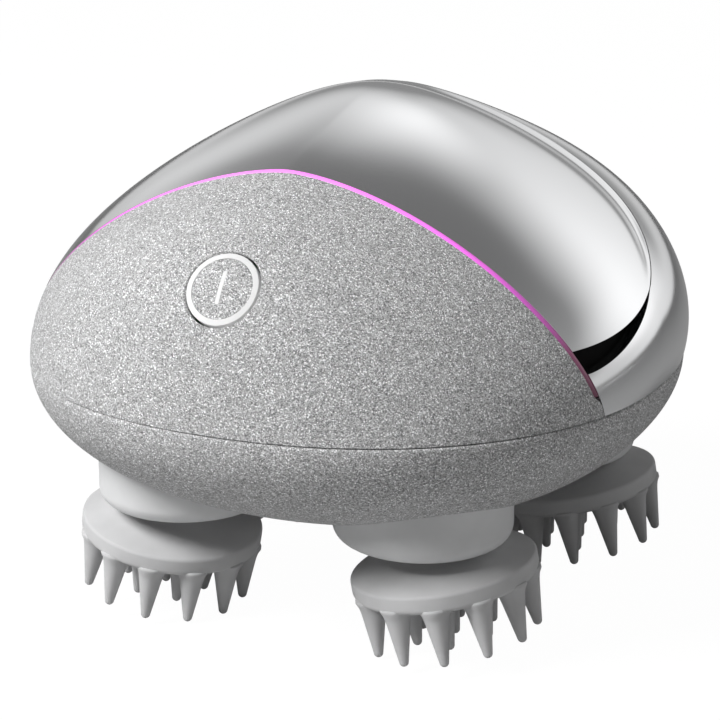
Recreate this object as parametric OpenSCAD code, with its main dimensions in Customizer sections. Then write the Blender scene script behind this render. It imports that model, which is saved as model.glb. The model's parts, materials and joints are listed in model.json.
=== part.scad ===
// Electric scalp massager: a smooth domed housing that stands on four kneading heads.
// Lengths are in millimetres. The origin is on the ground under the middle of the housing,
// +Z is up, and the power button faces -Y. Heights named *_z are measured from the seam
// between the upper shells and the lower pan; module at_seam() lifts them off the ground.

/* [Housing] */
// Width of the housing at the seam
body_w = 110; // [106:1:116]
// Length from the widest line of the seam to the front
seam_front = 54.7; // [53:0.1:57]
// Length from the widest line of the seam to the back
seam_back = 57.1; // [56:0.1:59]
// Where the widest line of the seam lies, before (-) or behind (+) the origin
waist_y = -2; // [-3:0.1:-1]
// How far the widest line moves back from the seam to the crown
waist_shift = 9.7; // [8:0.1:11]
// Height of the crown above the seam
dome_h = 44.9; // [43:0.1:48]
// Extra fullness of the sides at mid height
side_swell = 2.43; // [1:0.01:3]
// Extra fullness of the front at mid height
front_swell = 2.12; // [1:0.01:3]
// How much the back is drawn in at mid height
back_hollow = 1.08; // [0:0.01:2]
// Depth that the curve of the lower pan would reach below the seam
pan_deep = 25.7; // [24:0.1:27]
// Height of the flat underside of the pan, below the seam
pan_flat = 20.4; // [19:0.1:21]
// Wall of the shells, measured toward the middle of the housing
wall = 2.2; // [1.6:0.1:2.6]
// Gap between neighbouring shells
shell_gap = 0.3; // [0.2:0.05:0.5]

/* [Light line and side slits] */
// Width of the glowing line
light_w = 0.9; // [0.6:0.1:1.6]
// Depth of the light guide behind the line
light_deep = 3; // [2:0.1:4]
// Height of the lower ends of the light line above the seam
light_end = 3.7; // [2:0.1:5]
// Where the light line meets the seam, in front of the origin
light_front = 22.5; // [20:0.1:25]
// Height of each side slit's lower lip where it meets the light line
slit_low = 7.4; // [6.5:0.1:8.5]
// Height of each side slit's upper lip where it meets the light line
slit_high = 11; // [10:0.1:12]
// Height of the point in which each side slit ends
slit_tip = 15.2; // [14:0.1:17]

/* [Power button] */
// Height of the button's centre above the seam
button_z = 22.4; // [20:0.1:24]
// Radius of the opening in the front panel
button_hole_r = 6.35; // [5.5:0.05:7]
// Running gap around the button
button_gap = 0.35; // [0.2:0.05:0.5]
// Width of the white ring on the button's edge
button_ring_w = 1; // [0.6:0.05:1.4]
// Length of the white bar on the button
button_bar_l = 5.6; // [4:0.1:7]
// Width of the white bar on the button
button_bar_w = 0.7; // [0.5:0.05:1.2]
// How far the button travels
button_travel = 0.8; // [0.4:0.1:1]

/* [Kneading heads] */
// Half of the spacing of the two front heads
front_half = 22; // [21:0.1:23]
// Half of the spacing of the two rear heads
rear_half = 26; // [25:0.1:27]
// Position of the sun gear behind the origin
sun_y = 3.2; // [2.5:0.1:4]
// Lean of each head's axis away from upright, in degrees
lean = 10.5; // [6:0.5:11]
// How far each head's lean is turned from sideways to the back at rest
lean_turn = 15; // [0:5:30]
// Outer radius of the fixed cup around each head
cup_r = 14.9; // [14.5:0.1:15.5]
// Height of the cups' lower edge, below the seam
cup_low = 23.9; // [23:0.1:25]
// Height of the point where a head's axis crosses its cup's axis, above the cup's lower edge
pivot_rise = 14; // [13:0.5:15]
// Radius of the head's neck
neck_r = 8; // [7:0.1:8.2]
// Radius of the head's disc
disc_r = 15.6; // [14:0.1:16]
// Depth of the disc's rim
rim_h = 3.4; // [3:0.1:4.2]
// Length of a finger, tip included
finger_l = 9.6; // [8:0.1:11]
// Radius of a finger at its root
finger_root_r = 2.05; // [1.6:0.05:2.4]
// Radius of a finger's rounded tip
finger_tip_r = 0.8; // [0.6:0.05:1]
// Number of fingers around the edge of a disc
outer_fingers = 12; // [9:1:13]
// Number of fingers in the inner ring
inner_fingers = 6; // [4:1:7]

/* [Gear train] */
// Size of the gear teeth (module)
gear_mod = 1; // [1]
// Teeth on each head's crank gear
crank_teeth = 28; // [28]
// Teeth on the sun gear
sun_teeth = 42; // [42]
// Width of the gears
gear_w = 4; // [3:0.1:5]
// Play between meshing teeth
backlash = 0.12; // [0.08:0.01:0.2]
// Radius of the crank shafts
shaft_r = 2.5; // [2:0.1:3]
// Radius of the leaning crank pins
pin_r = 2; // [1.6:0.1:2.4]
// Running clearance of shafts and pins, on the radius
fit_gap = 0.05; // [0.03:0.01:0.08]
// Radius of the motor
motor_r = 12; // [10:0.1:13]
// Height of the motor
motor_h = 18; // [15:0.5:20]
// Radius of the battery cell
cell_r = 9.2; // [8:0.1:9.5]
// Length of the battery cell
cell_l = 65; // [60:1:66]

/* [Hidden] */
$fn = 64;

// Colours
silver = [0.76, 0.76, 0.77];
chrome = [0.86, 0.87, 0.89];
soft_grey = [0.70, 0.70, 0.71];
cup_grey = [0.80, 0.80, 0.81];
magenta = [0.95, 0.40, 0.90];
white = [0.95, 0.95, 0.95];
black = [0.05, 0.05, 0.06];
steel = [0.62, 0.63, 0.66];
nylon = [0.88, 0.87, 0.82];
brass = [0.78, 0.62, 0.30];
green = [0.10, 0.38, 0.22];

// ---- form of the housing: one closed outline at each height ----
body_half = body_w / 2;
crown_ease = 7.3;        // rounds the crown instead of letting it run to a point
side_curve = [1.94, 1.02];
front_curve = [4.87, 2.77];
back_curve = [3.83, 2.36];
pan_curve = 2.04;
front_round = [2.16, 1.5];   // exponent of the front outline, at the seam and the crown
back_round = [2.25, 2.39];
mid = [0, 0, 0];         // shells are thickened toward this point of the seam plane

function rise(z) = min(1, max(0, z / dome_h));
function hump(z) = 4 * rise(z) * (1 - rise(z));
function falloff(z, c) = pow(1 - pow(max(0, z) / (dome_h + crown_ease), c[0]), c[1]);
function taper(z, c) = let (f = falloff(z, c), e = falloff(dome_h, c))
    sqrt(max(0, (f * f - e * e) / (1 - e * e)));
function pan_taper(z) = sqrt(max(0, 1 - pow(min(1, -z / pan_deep), pan_curve)));
function side_len(z) = z < 0 ? body_half * pan_taper(z)
    : body_half * taper(z, side_curve) + side_swell * hump(z);
function front_len(z) = z < 0 ? seam_front * pan_taper(z)
    : seam_front * taper(z, front_curve) + front_swell * hump(z);
function back_len(z) = z < 0 ? seam_back * pan_taper(z)
    : seam_back * taper(z, back_curve) - back_hollow * hump(z);
function waist(z) = waist_y + waist_shift * rise(z);
function roundness(z, back) = let (r = back ? back_round : front_round)
    r[0] + (r[1] - r[0]) * rise(z);
function end_len(z, back) = max(0.01, back ? back_len(z) : front_len(z));

// A point of the outline at height z; angle 0 is the right side and 90 the back
function outline_at(z, a) = let (b = sin(a) > 0, n = roundness(z, b))
    [side_len(z) * sign(cos(a)) * pow(abs(cos(a)), 2 / n),
     waist(z) + end_len(z, b) * sign(sin(a)) * pow(abs(sin(a)), 2 / n), z];
// The angle at which the right half of the outline passes y
function angle_at(z, y) = let (b = y > waist(z), n = roundness(z, b),
        q = min(1, abs(y - waist(z)) / end_len(z, b)))
    (b ? 1 : -1) * asin(pow(q, n / 2));
function width_at(z, y) = outline_at(z, angle_at(z, y))[0];
// Height of the housing over the middle line at y, by halving
function top_at(y, lo = 0, hi = dome_h, k = 18) = k == 0 ? lo
    : let (m = (lo + hi) / 2,
        in = y > waist(m) - front_len(m) && y < waist(m) + back_len(m))
      top_at(y, in ? m : lo, in ? hi : m, k - 1);

// ---- lines that divide the upper shells ----
function light_y(z) = -light_front - 0.407 * z + 0.00676 * z * z;
function crease_y(z) = let (s = 1 - z / dome_h) 13 + 29.8 * s - 112.6 * pow(s, 3);
tip_y = crease_y(slit_tip);
// Front edge of the rear band below the slit, behind the light line
function band_front(z) = light_y(z) + light_w / 2 + shell_gap;
function mix(a, b, t) = a + (b - a) * t;

// Arches run from the right side over the crown to the left side. Arch 0 follows the light
// line from height lo and arch 1 follows the crease from the slit's tip.
function arch_low(w) = mix(slit_high, slit_tip, w * w) + shell_gap / 2;
light_peak = top_at(light_y(34.5));
crease_peak = top_at(crease_y(dome_h - 1.2));
front_start = light_w / 2;
function arch_y(w, s) = mix(light_y(mix(slit_high, light_peak, s)) + front_start,
    crease_y(mix(slit_tip, crease_peak, s)) - shell_gap / 2, w);
function arch_point(w, t) = let (s = cos(90 * t), y = arch_y(w, s),
        z = mix(arch_low(w), top_at(arch_y(w, 1)), s))
    [t == 0 ? 0 : sign(t) * width_at(z, y), y, z];

// ---- sheets: a grid of points on the housing, thickened toward its middle ----
function inset(p, d) = p + (mid - p) * d / norm(mid - p);
function inset_grid(g, d) = [for (row = g) [for (p = row) inset(p, d)]];

module sheet(grid, from, to) {
    outer = inset_grid(grid, from);
    inner = inset_grid(grid, to);
    n = len(grid);
    m = len(grid[0]);
    function at(side, i, j) = side * n * m + i * m + j;
    function quad(a, b, c, d) = [[a, b, c], [a, c, d]];
    points = [for (g = [outer, inner], row = g, p = row) p];
    faces = [
        for (i = [0 : n - 2], j = [0 : m - 2])
            each quad(at(0, i, j), at(0, i + 1, j), at(0, i + 1, j + 1), at(0, i, j + 1)),
        for (i = [0 : n - 2], j = [0 : m - 2])
            each quad(at(1, i, j), at(1, i, j + 1), at(1, i + 1, j + 1), at(1, i + 1, j)),
        for (j = [0 : m - 2])
            each quad(at(0, 0, j), at(0, 0, j + 1), at(1, 0, j + 1), at(1, 0, j)),
        for (j = [0 : m - 2])
            each quad(at(0, n - 1, j), at(1, n - 1, j), at(1, n - 1, j + 1), at(0, n - 1, j + 1)),
        for (i = [0 : n - 2])
            each quad(at(0, i, 0), at(1, i, 0), at(1, i + 1, 0), at(0, i + 1, 0)),
        for (i = [0 : n - 2])
            each quad(at(0, i, m - 1), at(0, i + 1, m - 1), at(1, i + 1, m - 1), at(1, i, m - 1))
    ];
    polyhedron(points, faces, convexity = 6);
}

// Rows of outline points at each height, from one angle to another
function rows(heights, first, last, cols) = [for (k = [0 : len(heights) - 1])
    [for (j = [0 : cols]) outline_at(heights[k], mix(first[k], last[k], j / cols))]];

// ---- places ----
module at_seam() translate([0, 0, seam_h]) children();

centre_dist = gear_mod * (crank_teeth + sun_teeth) / 2;
front_y = sun_y - sqrt(pow(centre_dist, 2) - pow(front_half, 2));
rear_y = sun_y + sqrt(pow(centre_dist, 2) - pow(rear_half, 2));
head_x = [-front_half, front_half, rear_half, -rear_half];
head_y = [front_y, front_y, rear_y, rear_y];
head_side = [-1, 1, 1, -1];      // which way each head leans at rest
module at_head(i) at_seam() translate([head_x[i], head_y[i], 0]) children();
// Frame of a leaning head: origin at its pivot, -Z along its axis
pivot_z = pivot_rise - cup_low;
module at_lean(i) at_head(i) translate([0, 0, pivot_z])
    rotate([0, -lean * head_side[i], lean_turn * head_side[i]]) children();

// ---- kneading head, measured down its own axis from the pivot ----
neck_low = pivot_rise + 1.4;     // where the neck starts to flare
flare_l = 3.1;
disc_low = neck_low + flare_l + rim_h;
finger_ring_r = disc_r - finger_root_r - 0.35;
finger_splay = 4;
inner_ring_r = finger_ring_r * 0.52;
cone_l = finger_l - finger_tip_r;
ring_out = cone_l * sin(finger_splay);
// Depth of the lowest finger tip below the seam
function finger_tip_depth() = -pivot_z + (disc_low + cone_l * cos(finger_splay)) * cos(lean)
    + (finger_ring_r + ring_out) * sin(lean) + finger_tip_r;

seam_h = finger_tip_depth();     // the seam stands this high over the ground

// ---- gear train ----
plate_top = -2.2;
plate_t = 2;
gear_low = plate_top + 0.3;
gear_top = gear_low + gear_w;
bridge_low = gear_top + 1.1;
bridge_t = 2;
bridge_top = bridge_low + bridge_t;
box_h = 9;
box_r = motor_r + 1.2;
cup_wall = 2.4;
cup_round = 2.8;
flange_r = cup_r + 0.5;
flange_t = 2;
cup_top = plate_top - plate_t;
web_low = cup_top - 5.4;         // underside of the cup's roof, which holds the bush
bush_wall = 1.5;
bush_r = shaft_r + fit_gap + bush_wall;
bush_head_r = bush_r + 1.4;
bush_head_t = 0.8;
arm_top = web_low - bush_head_t - 0.3;
arm_h = 3.4;
arm_r = 7;
sun_shaft_r = 3;
board_depth = 9;
board_t = 1.6;
board_size = [36, 16];
boss_r = 2.4;

// Involute tooth flanks: angle turned at radius r, in degrees
function involute(base, r) = r <= base ? 0
    : let (a = acos(base / r)) tan(a) * 180 / PI - a;
function tooth_half(teeth, r) = let (pitch = gear_mod * teeth / 2, base = pitch * cos(20))
    90 / teeth - (backlash / 2) / pitch * 180 / PI + involute(base, pitch) - involute(base, r);
module gear(teeth, width) {
    pitch = gear_mod * teeth / 2;
    root = pitch - 1.25 * gear_mod;
    tip = pitch + gear_mod * 0.95;
    steps = 3;
    linear_extrude(width) polygon([for (i = [0 : teeth - 1]) let (a = i * 360 / teeth)
        each concat(
            [for (k = [0 : steps]) let (r = mix(root, tip, k / steps))
                r * [cos(a - tooth_half(teeth, r)), sin(a - tooth_half(teeth, r))]],
            [for (k = [steps : -1 : 0]) let (r = mix(root, tip, k / steps))
                r * [cos(a + tooth_half(teeth, r)), sin(a + tooth_half(teeth, r))]])]);
}

// ---- housing ----
seam_gap = shell_gap / 2;
function pan_ring(z, inner) = [for (j = [0 : 71]) let (p = outline_at(z, j * 5))
    inner ? [p[0] * (1 - wall / body_half),
             waist_y + (p[1] - waist_y) * (1 - wall / body_half), z] : p];
module pan_skin() {
    // outer rings from the flat underside to the rim, then inner rings back down
    floor_z = wall - pan_flat;
    steps = 9;
    n = 72;
    rings = concat(
        [for (k = [0 : steps]) pan_ring(-pan_flat * cos(90 * k / steps) - seam_gap * k / steps, false)],
        [for (k = [steps : -1 : 0])
            pan_ring(mix(-seam_gap, floor_z, 1 - k / steps), true)]);
    count = len(rings);
    polyhedron([for (r = rings, p = r) p], concat(
        [[for (j = [0 : n - 1]) j]],
        [for (i = [0 : count - 2], j = [0 : n - 1]) let (q = (j + 1) % n)
            each [[i * n + j, (i + 1) * n + j, (i + 1) * n + q], [i * n + j, (i + 1) * n + q, i * n + q]]],
        [[for (j = [n - 1 : -1 : 0]) (count - 1) * n + j]]), convexity = 6);
}
post_spots = [[-42, 0], [42, 0], [0, -40], [0, 39]];
post_r = 3.4;
// How far out a post reaches, as a share of the outline, and the pan's skin below that point
function post_reach(s) = abs(s[0]) > 0 ? (abs(s[0]) + post_r) / body_half
    : (abs(s[1] - waist_y) + post_r) / (s[1] > 0 ? seam_back : seam_front);
function post_foot(s) = -pan_deep * pow(1 - pow(post_reach(s), 2), 1 / pan_curve) + 0.4;
screw_r = 1.1;
socket_z = -7.5;
socket_w = 9.4;
socket_h = 3.6;
socket_y = waist_y + back_len(socket_z);   // the pan's outer face behind the socket
module socket_form(grow, from, depth) {
    // rounded slot through the back wall, from a depth inward
    translate([0, socket_y - from, socket_z]) rotate([90, 0, 0]) {
        r = socket_h / 2 + grow;
        for (s = [-1, 1]) translate([s * (socket_w - socket_h) / 2, 0, 0]) cylinder(r = r, h = depth);
        translate([-(socket_w - socket_h) / 2, -r, 0]) cube([socket_w - socket_h, 2 * r, depth]);
    }
}
module lower_pan() color(silver) at_seam() difference() {
    union() {
        pan_skin();
        for (s = post_spots) translate([s[0], s[1], post_foot(s)])
            cylinder(r = post_r, h = cup_top - post_foot(s));
    }
    for (i = [0 : 3]) translate([head_x[i], head_y[i], -pan_deep])
        cylinder(r = cup_r + 0.15, h = pan_deep - 1);
    for (s = post_spots) translate([s[0], s[1], cup_top - 7]) cylinder(r = screw_r, h = 8);
    socket_form(0.4, -3, 9);
}

panel_top = top_at(light_y(light_peak) - light_w / 2) - 0.04;
module panel_skin() {
    steps = 14;
    heights = [for (k = [0 : steps]) mix(seam_gap, panel_top, sin(90 * k / steps))];
    ends = [for (z = heights) angle_at(z, light_y(z) - (z < light_end ? -light_w / 2 : light_w / 2))];
    sheet(rows(heights, [for (a = ends) -180 - a], ends, 32), 0, wall);
}
// Frame at the button: origin on the panel's middle line, +Z straight out of the button
button_y = waist(button_z) - front_len(button_z);
button_tilt = atan((waist(button_z + 1) - front_len(button_z + 1)
    - waist(button_z - 1) + front_len(button_z - 1)) / 2);
module at_button() at_seam() translate([0, button_y, button_z])
    rotate([90 - button_tilt, 0, 0]) children();
board_back = board_depth + board_t;
// Layer of the panel's form around the button, between two depths
module panel_layer(from, to, half_angle, n) at_seam() sheet(
    rows([for (k = [0 : n]) button_z + mix(-11, 11, k / n)],
        [for (k = [0 : n]) -90 - half_angle], [for (k = [0 : n]) -90 + half_angle], n), from, to);
board_x = 14;            // the board's two screws, beside the button
module front_panel() color(silver) difference() {
    union() {
        at_seam() panel_skin();
        intersection() {
            for (s = [-1, 1]) at_button() translate([s * board_x, 0, -board_depth])
                cylinder(r = boss_r, h = board_depth);
            panel_layer(wall / 2, board_depth + 8, 40, 8);
        }
    }
    at_button() translate([0, 0, -6]) cylinder(r = button_hole_r, h = 12);
}

module dome_cover() color(chrome) at_seam() {
    arches = 10;
    half = 20;
    grid = [for (i = [0 : arches]) [for (j = [-half : half]) arch_point(i / arches, j / half)]];
    sheet(grid, 0, wall);
}

// The rear band is a fan of columns that rise from the seam to its upper edge, which first
// follows the slit's lower lip and then the crease. Column 0 is the right front edge, and
// the last column is the middle line at the back.
band_top = top_at(crease_y(crease_peak) + shell_gap / 2) - 0.05;
lip_columns = 8;
crease_columns = 17;
band_columns = lip_columns + crease_columns;
function lip_share(k) = min(1, k / lip_columns);
function crease_share(k) = max(0, k - lip_columns) / crease_columns;
function band_edge_z(k) = k <= lip_columns ? mix(slit_low, slit_tip, pow(lip_share(k), 1.5))
    : mix(slit_tip, band_top, sin(90 * crease_share(k)));
function band_edge_angle(k) = k == band_columns ? 90 : let (z = band_edge_z(k))
    angle_at(z, k <= lip_columns ? mix(band_front(slit_low), tip_y, lip_share(k))
        : crease_y(z) + shell_gap / 2);
function band_foot_angle(k) = let (tip = angle_at(seam_gap, tip_y))
    k <= lip_columns ? angle_at(seam_gap, mix(band_front(seam_gap), tip_y, lip_share(k)))
        : mix(tip, 90, pow(crease_share(k), 0.9));
function band_point(k, v) = let (z = mix(seam_gap, band_edge_z(k), v))
    outline_at(z, k == 0 ? angle_at(z, band_front(z)) : mix(band_foot_angle(k), band_edge_angle(k), v));
module rear_band() color(chrome) at_seam() {
    steps = 10;
    sheet([for (i = [0 : steps]) let (v = sin(90 * i / steps)) concat(
        [for (k = [0 : band_columns]) band_point(k, v)],
        [for (k = [band_columns - 1 : -1 : 0]) let (p = band_point(k, v)) [-p[0], p[1], p[2]]])],
        0, wall);
}

// Black wall that closes each side slit from inside
module slit_liner(side) color(black) at_seam() mirror([side > 0 ? 0 : 1, 0, 0]) {
    heights = [for (k = [0 : 4]) mix(slit_low - 3, slit_tip + 4, k / 4)];
    sheet(rows(heights, [for (z = heights) angle_at(z, light_y(z) + 2.2)],
        [for (z = heights) angle_at(z, tip_y + 5)], 8), wall + shell_gap, wall + shell_gap + 1.2);
}

// The light line: strips of an arch on either side of light_y()
function light_arch(offset, low, n) = let (top = top_at(light_y(light_peak) + offset))
    [for (j = [-n : n]) let (z = mix(low, top, cos(90 * abs(j) / n)),
            y = light_y(j == 0 ? light_peak : min(z, light_peak)) + offset)
        [sign(j) * width_at(z, y), y, z]];
module light_guide() color(magenta) at_seam()
    sheet([light_arch(-light_w / 2 + shell_gap / 4, light_end, 30),
        light_arch(light_w / 2 - shell_gap / 4, light_end, 30)], 0.02, light_deep);
module light_strip() color(white) at_seam()
    sheet([light_arch(-1.6, light_end + 2, 24), light_arch(1.6, light_end + 2, 24)],
        light_deep + 0.2, light_deep + 0.8);

// Thin gasket on the pan's rim, just clear of the upper shells' rims
seal_w = 1.2;
seal_t = 2 * seam_gap - 0.05;
module seam_seal() color(black) at_seam() translate([0, 0, -seam_gap]) {
    seal_out = 1 - (wall - seal_w) * 0.7 / body_half;
    seal_in = seal_out - seal_w / body_half;
    linear_extrude(seal_t) difference() {
        polygon([for (p = pan_ring(0, false)) [p[0] * seal_out, waist_y + (p[1] - waist_y) * seal_out]]);
        polygon([for (p = pan_ring(0, false)) [p[0] * seal_in, waist_y + (p[1] - waist_y) * seal_in]]);
    }
}

module charge_socket() color(steel) at_seam() difference() {
    socket_form(0.2, 1.9, 6.4);
    socket_form(-0.5, 1.8, 5.6);
}
module socket_cover() color(soft_grey) at_seam() socket_form(0.25, 0.35, 1.5);

// ---- power button ----
button_r = button_hole_r - button_gap;
ring_in = button_r - button_ring_w;
inlay_t = 0.6;
button_t = 6;            // more than the cap's depth, for cutting
lip_depth = wall + 0.3;  // the cap's lip runs this far behind the panel's outer face
cap_depth = lip_depth + 0.9;
module cap_layer(from, to) panel_layer(from, to, 14, 8);
module power_button() color(silver) difference() {
    union() {
        intersection() {
            at_button() translate([0, 0, -button_t]) cylinder(r = button_r, h = 2 * button_t);
            cap_layer(0, cap_depth);
        }
        intersection() {
            at_button() translate([0, 0, -button_t - 2]) cylinder(r = button_hole_r + 0.8, h = button_t + 2);
            cap_layer(lip_depth, cap_depth);
        }
    }
    intersection() {
        union() {
            ring_form(1);
            at_button() translate([0, 0, -2]) bar_form(4);
        }
        cap_layer(-1, inlay_t);
    }
}
module ring_form(grow) at_button() translate([0, 0, -3]) difference() {
    cylinder(r = button_r + grow, h = 6);
    translate([0, 0, -1]) cylinder(r = ring_in, h = 8);
}
module bar_form(h) {
    straight = button_bar_l - button_bar_w;
    translate([-button_bar_w / 2, -straight / 2, 0]) cube([button_bar_w, straight, h]);
    for (s = [-1, 1]) translate([0, s * straight / 2, 0]) cylinder(d = button_bar_w, h = h);
}
module button_ring() color(white) intersection() {
    ring_form(0);
    cap_layer(0, inlay_t);
}
module button_bar() color(white) intersection() {
    at_button() translate([0, 0, -2]) bar_form(4);
    cap_layer(0, inlay_t);
}
switch_h = board_depth - cap_depth - button_travel - 0.1;
module button_switch() color(black) at_button() translate([0, 0, -board_depth]) {
    translate([-3, -3, 0]) cube([6, 6, 3.4]);
    cylinder(r = 1.6, h = switch_h);
}
module main_board() color(green) at_button() translate([0, 0, -board_back])
    translate([-board_size[0] / 2, -board_size[1] / 2, 0]) cube([board_size[0], board_size[1], board_t]);

// ---- chassis ----
plate_scale = 1 - (wall + 1.4) / body_half;
module gear_plate() color(nylon) at_seam() difference() {
    translate([0, 0, cup_top]) linear_extrude(plate_t) polygon([for (p = pan_ring(cup_top, false))
        [p[0] * plate_scale, waist_y + (p[1] - waist_y) * plate_scale]]);
    for (i = [0 : 3]) translate([head_x[i], head_y[i], cup_top - 1])
        cylinder(r = bush_r + fit_gap, h = plate_t + 2);
    translate([0, sun_y, cup_top - 1]) cylinder(r = sun_shaft_r + fit_gap, h = plate_t + 2);
    for (s = post_spots) translate([s[0], s[1], cup_top - 1]) cylinder(r = screw_r + 0.3, h = plate_t + 2);
}
bridge_side = 27;        // the bridge's four posts stand this far from the middle
bridge_back = 32;
bridge_front = 27.5;
bridge_posts = [[-bridge_side, 0], [bridge_side, 0], [0, bridge_back], [0, -bridge_front]];
bridge_post_r = 3;
bridge_bar = 2 * bridge_post_r;
cell_y = 28;
cradle_w = 56;
cradle_deep = 18;
cradle_h = 5;
module bridge_outline() {
    circle(r = box_r + 2);
    for (s = bridge_posts) translate([s[0], s[1] - sun_y]) circle(r = bridge_post_r + 0.6);
    translate([-bridge_side, -sun_y - bridge_bar / 2]) square([2 * bridge_side, bridge_bar]);
    translate([-bridge_bar / 2, -bridge_front - sun_y])
        square([bridge_bar, bridge_front + bridge_back + 1]);
    translate([-cradle_w / 2 - 2, cell_y - cradle_deep / 2 - sun_y])
        square([cradle_w + 4, cradle_deep]);
}
module motor_bridge() color(nylon) at_seam() difference() {
    union() {
        translate([0, sun_y, bridge_low]) linear_extrude(bridge_t) bridge_outline();
        for (s = bridge_posts) translate([s[0], s[1], plate_top])
            cylinder(r = bridge_post_r, h = bridge_low - plate_top + 1);
    }
    translate([0, sun_y, bridge_low - 1]) cylinder(r = sun_shaft_r + 1, h = bridge_t + 2);
    for (s = bridge_posts) translate([s[0], s[1], plate_top + 1]) cylinder(r = screw_r, h = 20);
}
module pan_head_screw(l) {
    cylinder(r = screw_r - fit_gap, h = l);
    translate([0, 0, l]) intersection() {
        cylinder(r = 2, h = 1.3);
        translate([0, 0, -1.2]) sphere(r = 2.5);
    }
}
module bridge_screws() color(steel) at_seam() for (s = bridge_posts)
    translate([s[0], s[1], plate_top + 1.5]) pan_head_screw(bridge_top - plate_top - 1.5);
module plate_screws() color(steel) at_seam() for (s = post_spots)
    translate([s[0], s[1], cup_top - 6]) pan_head_screw(6 + plate_t);

// ---- drive ----
module gearbox() color(steel) at_seam() translate([0, sun_y, bridge_top]) difference() {
    union() {
        cylinder(r = box_r, h = box_h - 1);
        cylinder(r = box_r - 1, h = box_h);
    }
    translate([0, 0, -1]) cylinder(r = sun_shaft_r + fit_gap, h = 5);
}
module motor_can() color(steel) at_seam() translate([0, sun_y, bridge_top + box_h]) {
    cylinder(r = motor_r, h = motor_h - 2);
    translate([0, 0, motor_h - 2]) cylinder(r1 = motor_r, r2 = motor_r - 1.5, h = 1.5);
    cylinder(r = 3.2, h = motor_h + 0.6);
    for (s = [-1, 1]) translate([s * 7 - 0.4, -1.2, motor_h - 1]) cube([0.8, 2.4, 4]);
}
module sun_gear() color(nylon) at_seam() translate([0, sun_y, gear_low]) difference() {
    gear(sun_teeth, gear_w);
    translate([0, 0, -1]) cylinder(r = sun_shaft_r + fit_gap, h = gear_w + 2);
    for (k = [0 : 5]) rotate(k * 60) translate([10.5, 0, -1]) cylinder(r = 3.4, h = gear_w + 2);
}
module sun_shaft() color(steel) at_seam() translate([0, sun_y, cup_top - 0.5])
    cylinder(r = sun_shaft_r, h = bridge_top + 3.6 - cup_top + 0.5);

cell_z = bridge_top + 1.2 + cell_r;
module battery_cell() color([0.2, 0.35, 0.6]) at_seam() translate([0, cell_y, cell_z])
    rotate([0, 90, 0]) {
        translate([0, 0, -cell_l / 2]) cylinder(r = cell_r, h = cell_l - 1);
        translate([0, 0, cell_l / 2 - 1.5]) cylinder(r = 3, h = 1.5);
    }
module battery_cradle() color(nylon) at_seam() difference() {
    translate([-cradle_w / 2, cell_y - cradle_deep / 2, bridge_top + 0.02])
        cube([cradle_w, cradle_deep, cradle_h]);
    translate([0, cell_y, cell_z]) rotate([0, 90, 0])
        translate([0, 0, -cell_l]) cylinder(r = cell_r + 0.1, h = 2 * cell_l);
    // two windows for the fingers that lift the cell out, and room for a screw head
    for (x = [-cradle_w / 8 * 3, cradle_w / 8]) translate([x, cell_y - cradle_deep, bridge_top + 2.4])
        cube([cradle_w / 4, 2 * cradle_deep, cradle_h]);
    translate([0, bridge_back, bridge_top - 1]) cylinder(r = 3.2, h = cradle_h + 3);
}

// ---- heads ----
module head_cup(i) color(cup_grey) at_head(i) {
    in_r = cup_r - cup_wall;
    rotate_extrude() polygon(concat(
        [[bush_r + fit_gap, web_low], [in_r - 1.5, web_low], [in_r, web_low - 1.5],
         [in_r, 1.2 - cup_low], [in_r - 0.9, -cup_low]],
        [for (a = [0 : 15 : 90]) [cup_r - cup_round + cup_round * sin(a),
            cup_round - cup_low - cup_round * cos(a)]],
        [[cup_r, cup_top - flange_t], [flange_r, cup_top - flange_t], [flange_r, cup_top],
         [bush_r + fit_gap, cup_top]]));
}
module shaft_bush(i) color(brass) at_head(i) difference() {
    union() {
        translate([0, 0, web_low]) cylinder(r = bush_r, h = plate_top - web_low);
        translate([0, 0, web_low - bush_head_t]) cylinder(r = bush_head_r, h = bush_head_t);
    }
    translate([0, 0, web_low - 2]) cylinder(r = shaft_r + fit_gap, h = 20);
}
// The phase puts a gap of the crank gear where a sun tooth stands
function mesh_phase(i) = let (a = atan2(head_y[i] - sun_y, head_x[i]))
    a + 180 + 180 / crank_teeth + a * sun_teeth / crank_teeth;
module crank_gear(i) color(nylon) at_head(i) translate([0, 0, gear_low]) rotate(mesh_phase(i))
    difference() {
        gear(crank_teeth, gear_w);
        translate([0, 0, -1]) cylinder(r = shaft_r, h = gear_w + 2);
        for (k = [0 : 4]) rotate(k * 72) translate([9.4, 0, -1]) cylinder(r = 3.2, h = gear_w + 2);
    }
pin_l = disc_low - 3.2;
module crank_arm(i) color(steel) {
    at_head(i) {
        translate([0, 0, arm_top - 1]) cylinder(r = shaft_r, h = gear_top - arm_top + 1);
        translate([0, 0, arm_top - arm_h]) cylinder(r = arm_r, h = arm_h);
    }
    at_lean(i) translate([0, 0, -pin_l]) cylinder(r = pin_r, h = pin_l - 2);
}
neck_top = 7.2;          // the pad's neck ends this far below the pivot
sleeve_top = 5.4;        // and the hub's sleeve, close under the crank
sleeve_r = pin_r + fit_gap + 2.2;
hub_flange_r = disc_r - 3.4;
hub_flange_t = 1.6;
hub_low = disc_low - 1.8;
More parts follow.
